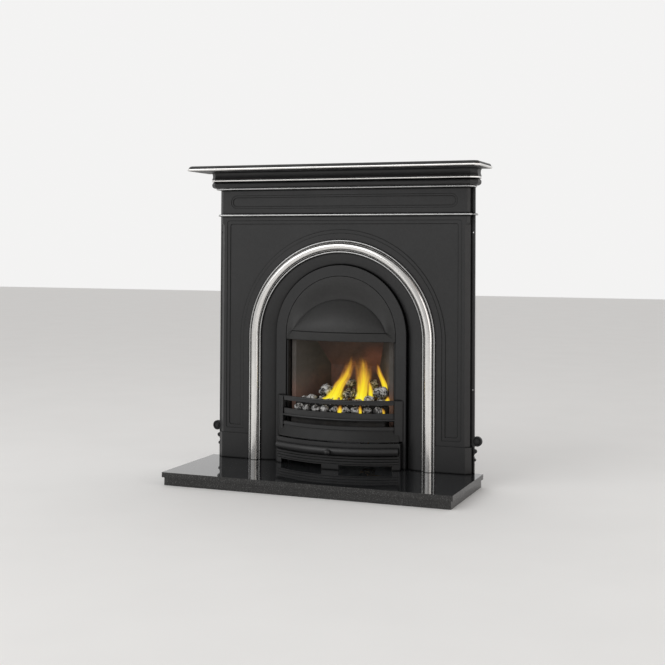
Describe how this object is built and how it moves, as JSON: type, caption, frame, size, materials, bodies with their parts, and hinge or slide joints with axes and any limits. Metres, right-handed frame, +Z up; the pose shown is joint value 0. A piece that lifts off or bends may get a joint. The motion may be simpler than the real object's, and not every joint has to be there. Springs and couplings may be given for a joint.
{
  "type": "cast iron fireplace",
  "caption": "Cast iron mantel and arched gas insert in black with a polished stilted arch, moulded cornice, bowed grate, coal bed and granite hearth.",
  "frame": {"origin": "on the floor, midway along the mantel and midway between the hearth's front edge and the firebox's back", "axes": "+X along the mantel to the viewer's right, +Y into the wall, +Z up; the wall's face is at y = 0.123 m"},
  "size_m": [1.25, 0.658, 1.276],
  "materials": {
    "black_iron": "satin black stove paint",
    "polished_iron": "polished bright, lacquered",
    "granite": "polished black granite with fine speckle",
    "concrete": "cast concrete",
    "sheet_steel": "galvanised sheet",
    "fire_ceramic": "fired ceramic fibre, smoke-stained brick brown",
    "coal_ceramic": "matt, black with grey and white ash",
    "brass": "plain machined",
    "black_plastic": "heat-resistant moulded",
    "zinc_steel": "zinc plated"
  },
  "bodies": {
    "root": {"hearth_slab": "granite", "front_riser": "granite", "left_riser": "granite", "right_riser": "granite", "slab_supports": "granite", "back_hearth": "concrete", "mantel_surround": "black_iron", "mantel_shelf": "black_iron", "polished_arch": "polished_iron", "arch_insert": "black_iron", "canopy_hood": "black_iron", "left_cheek": "fire_ceramic", "right_cheek": "fire_ceramic", "fireback": "fire_ceramic", "firebox": "sheet_steel", "flue_collar": "sheet_steel", "burner_tray": "sheet_steel", "burner_legs": "sheet_steel", "fuel_bed_base": "fire_ceramic", "front_coals": "coal_ceramic", "loose_coals": "coal_ceramic", "pilot_assembly": "brass", "gas_valve": "brass", "valve_bracket": "sheet_steel", "gas_feed_pipe": "brass", "inlet_fitting": "brass", "burner_pipe": "brass", "shelf_bolts": "zinc_steel", "arch_bolts": "zinc_steel", "firebox_bolts": "zinc_steel"},
    "front_bars": {"front_bars": "black_iron", "bar_hooks": "sheet_steel"},
    "ash_cover": {"ash_cover": "black_iron", "cover_knob": "black_iron"},
    "control_push": {"control_spindle": "brass"},
    "control_knob": {"control_knob": "black_plastic"}
  },
  "joints": [
    {"name": "bars_lift", "type": "slide", "parent": "root", "child": "front_bars", "axis": [0, 0, 1], "range_m": [0, 0.026]},
    {"name": "cover_pull", "type": "slide", "parent": "root", "child": "ash_cover", "axis": [0, -1, 0], "range_m": [0, 0.15]},
    {"name": "control_push", "type": "slide", "parent": "root", "child": "control_push", "axis": [0, 1, 0], "range_m": [0, 0.003], "stiffness_N_per_m": 600, "springref_m": -0.002},
    {"name": "control_turn", "type": "hinge", "parent": "control_push", "child": "control_knob", "pos_m": [0.1, 0.089, 0.098], "axis": [0, -1, 0], "range_deg": [0, 210]}
  ]
}
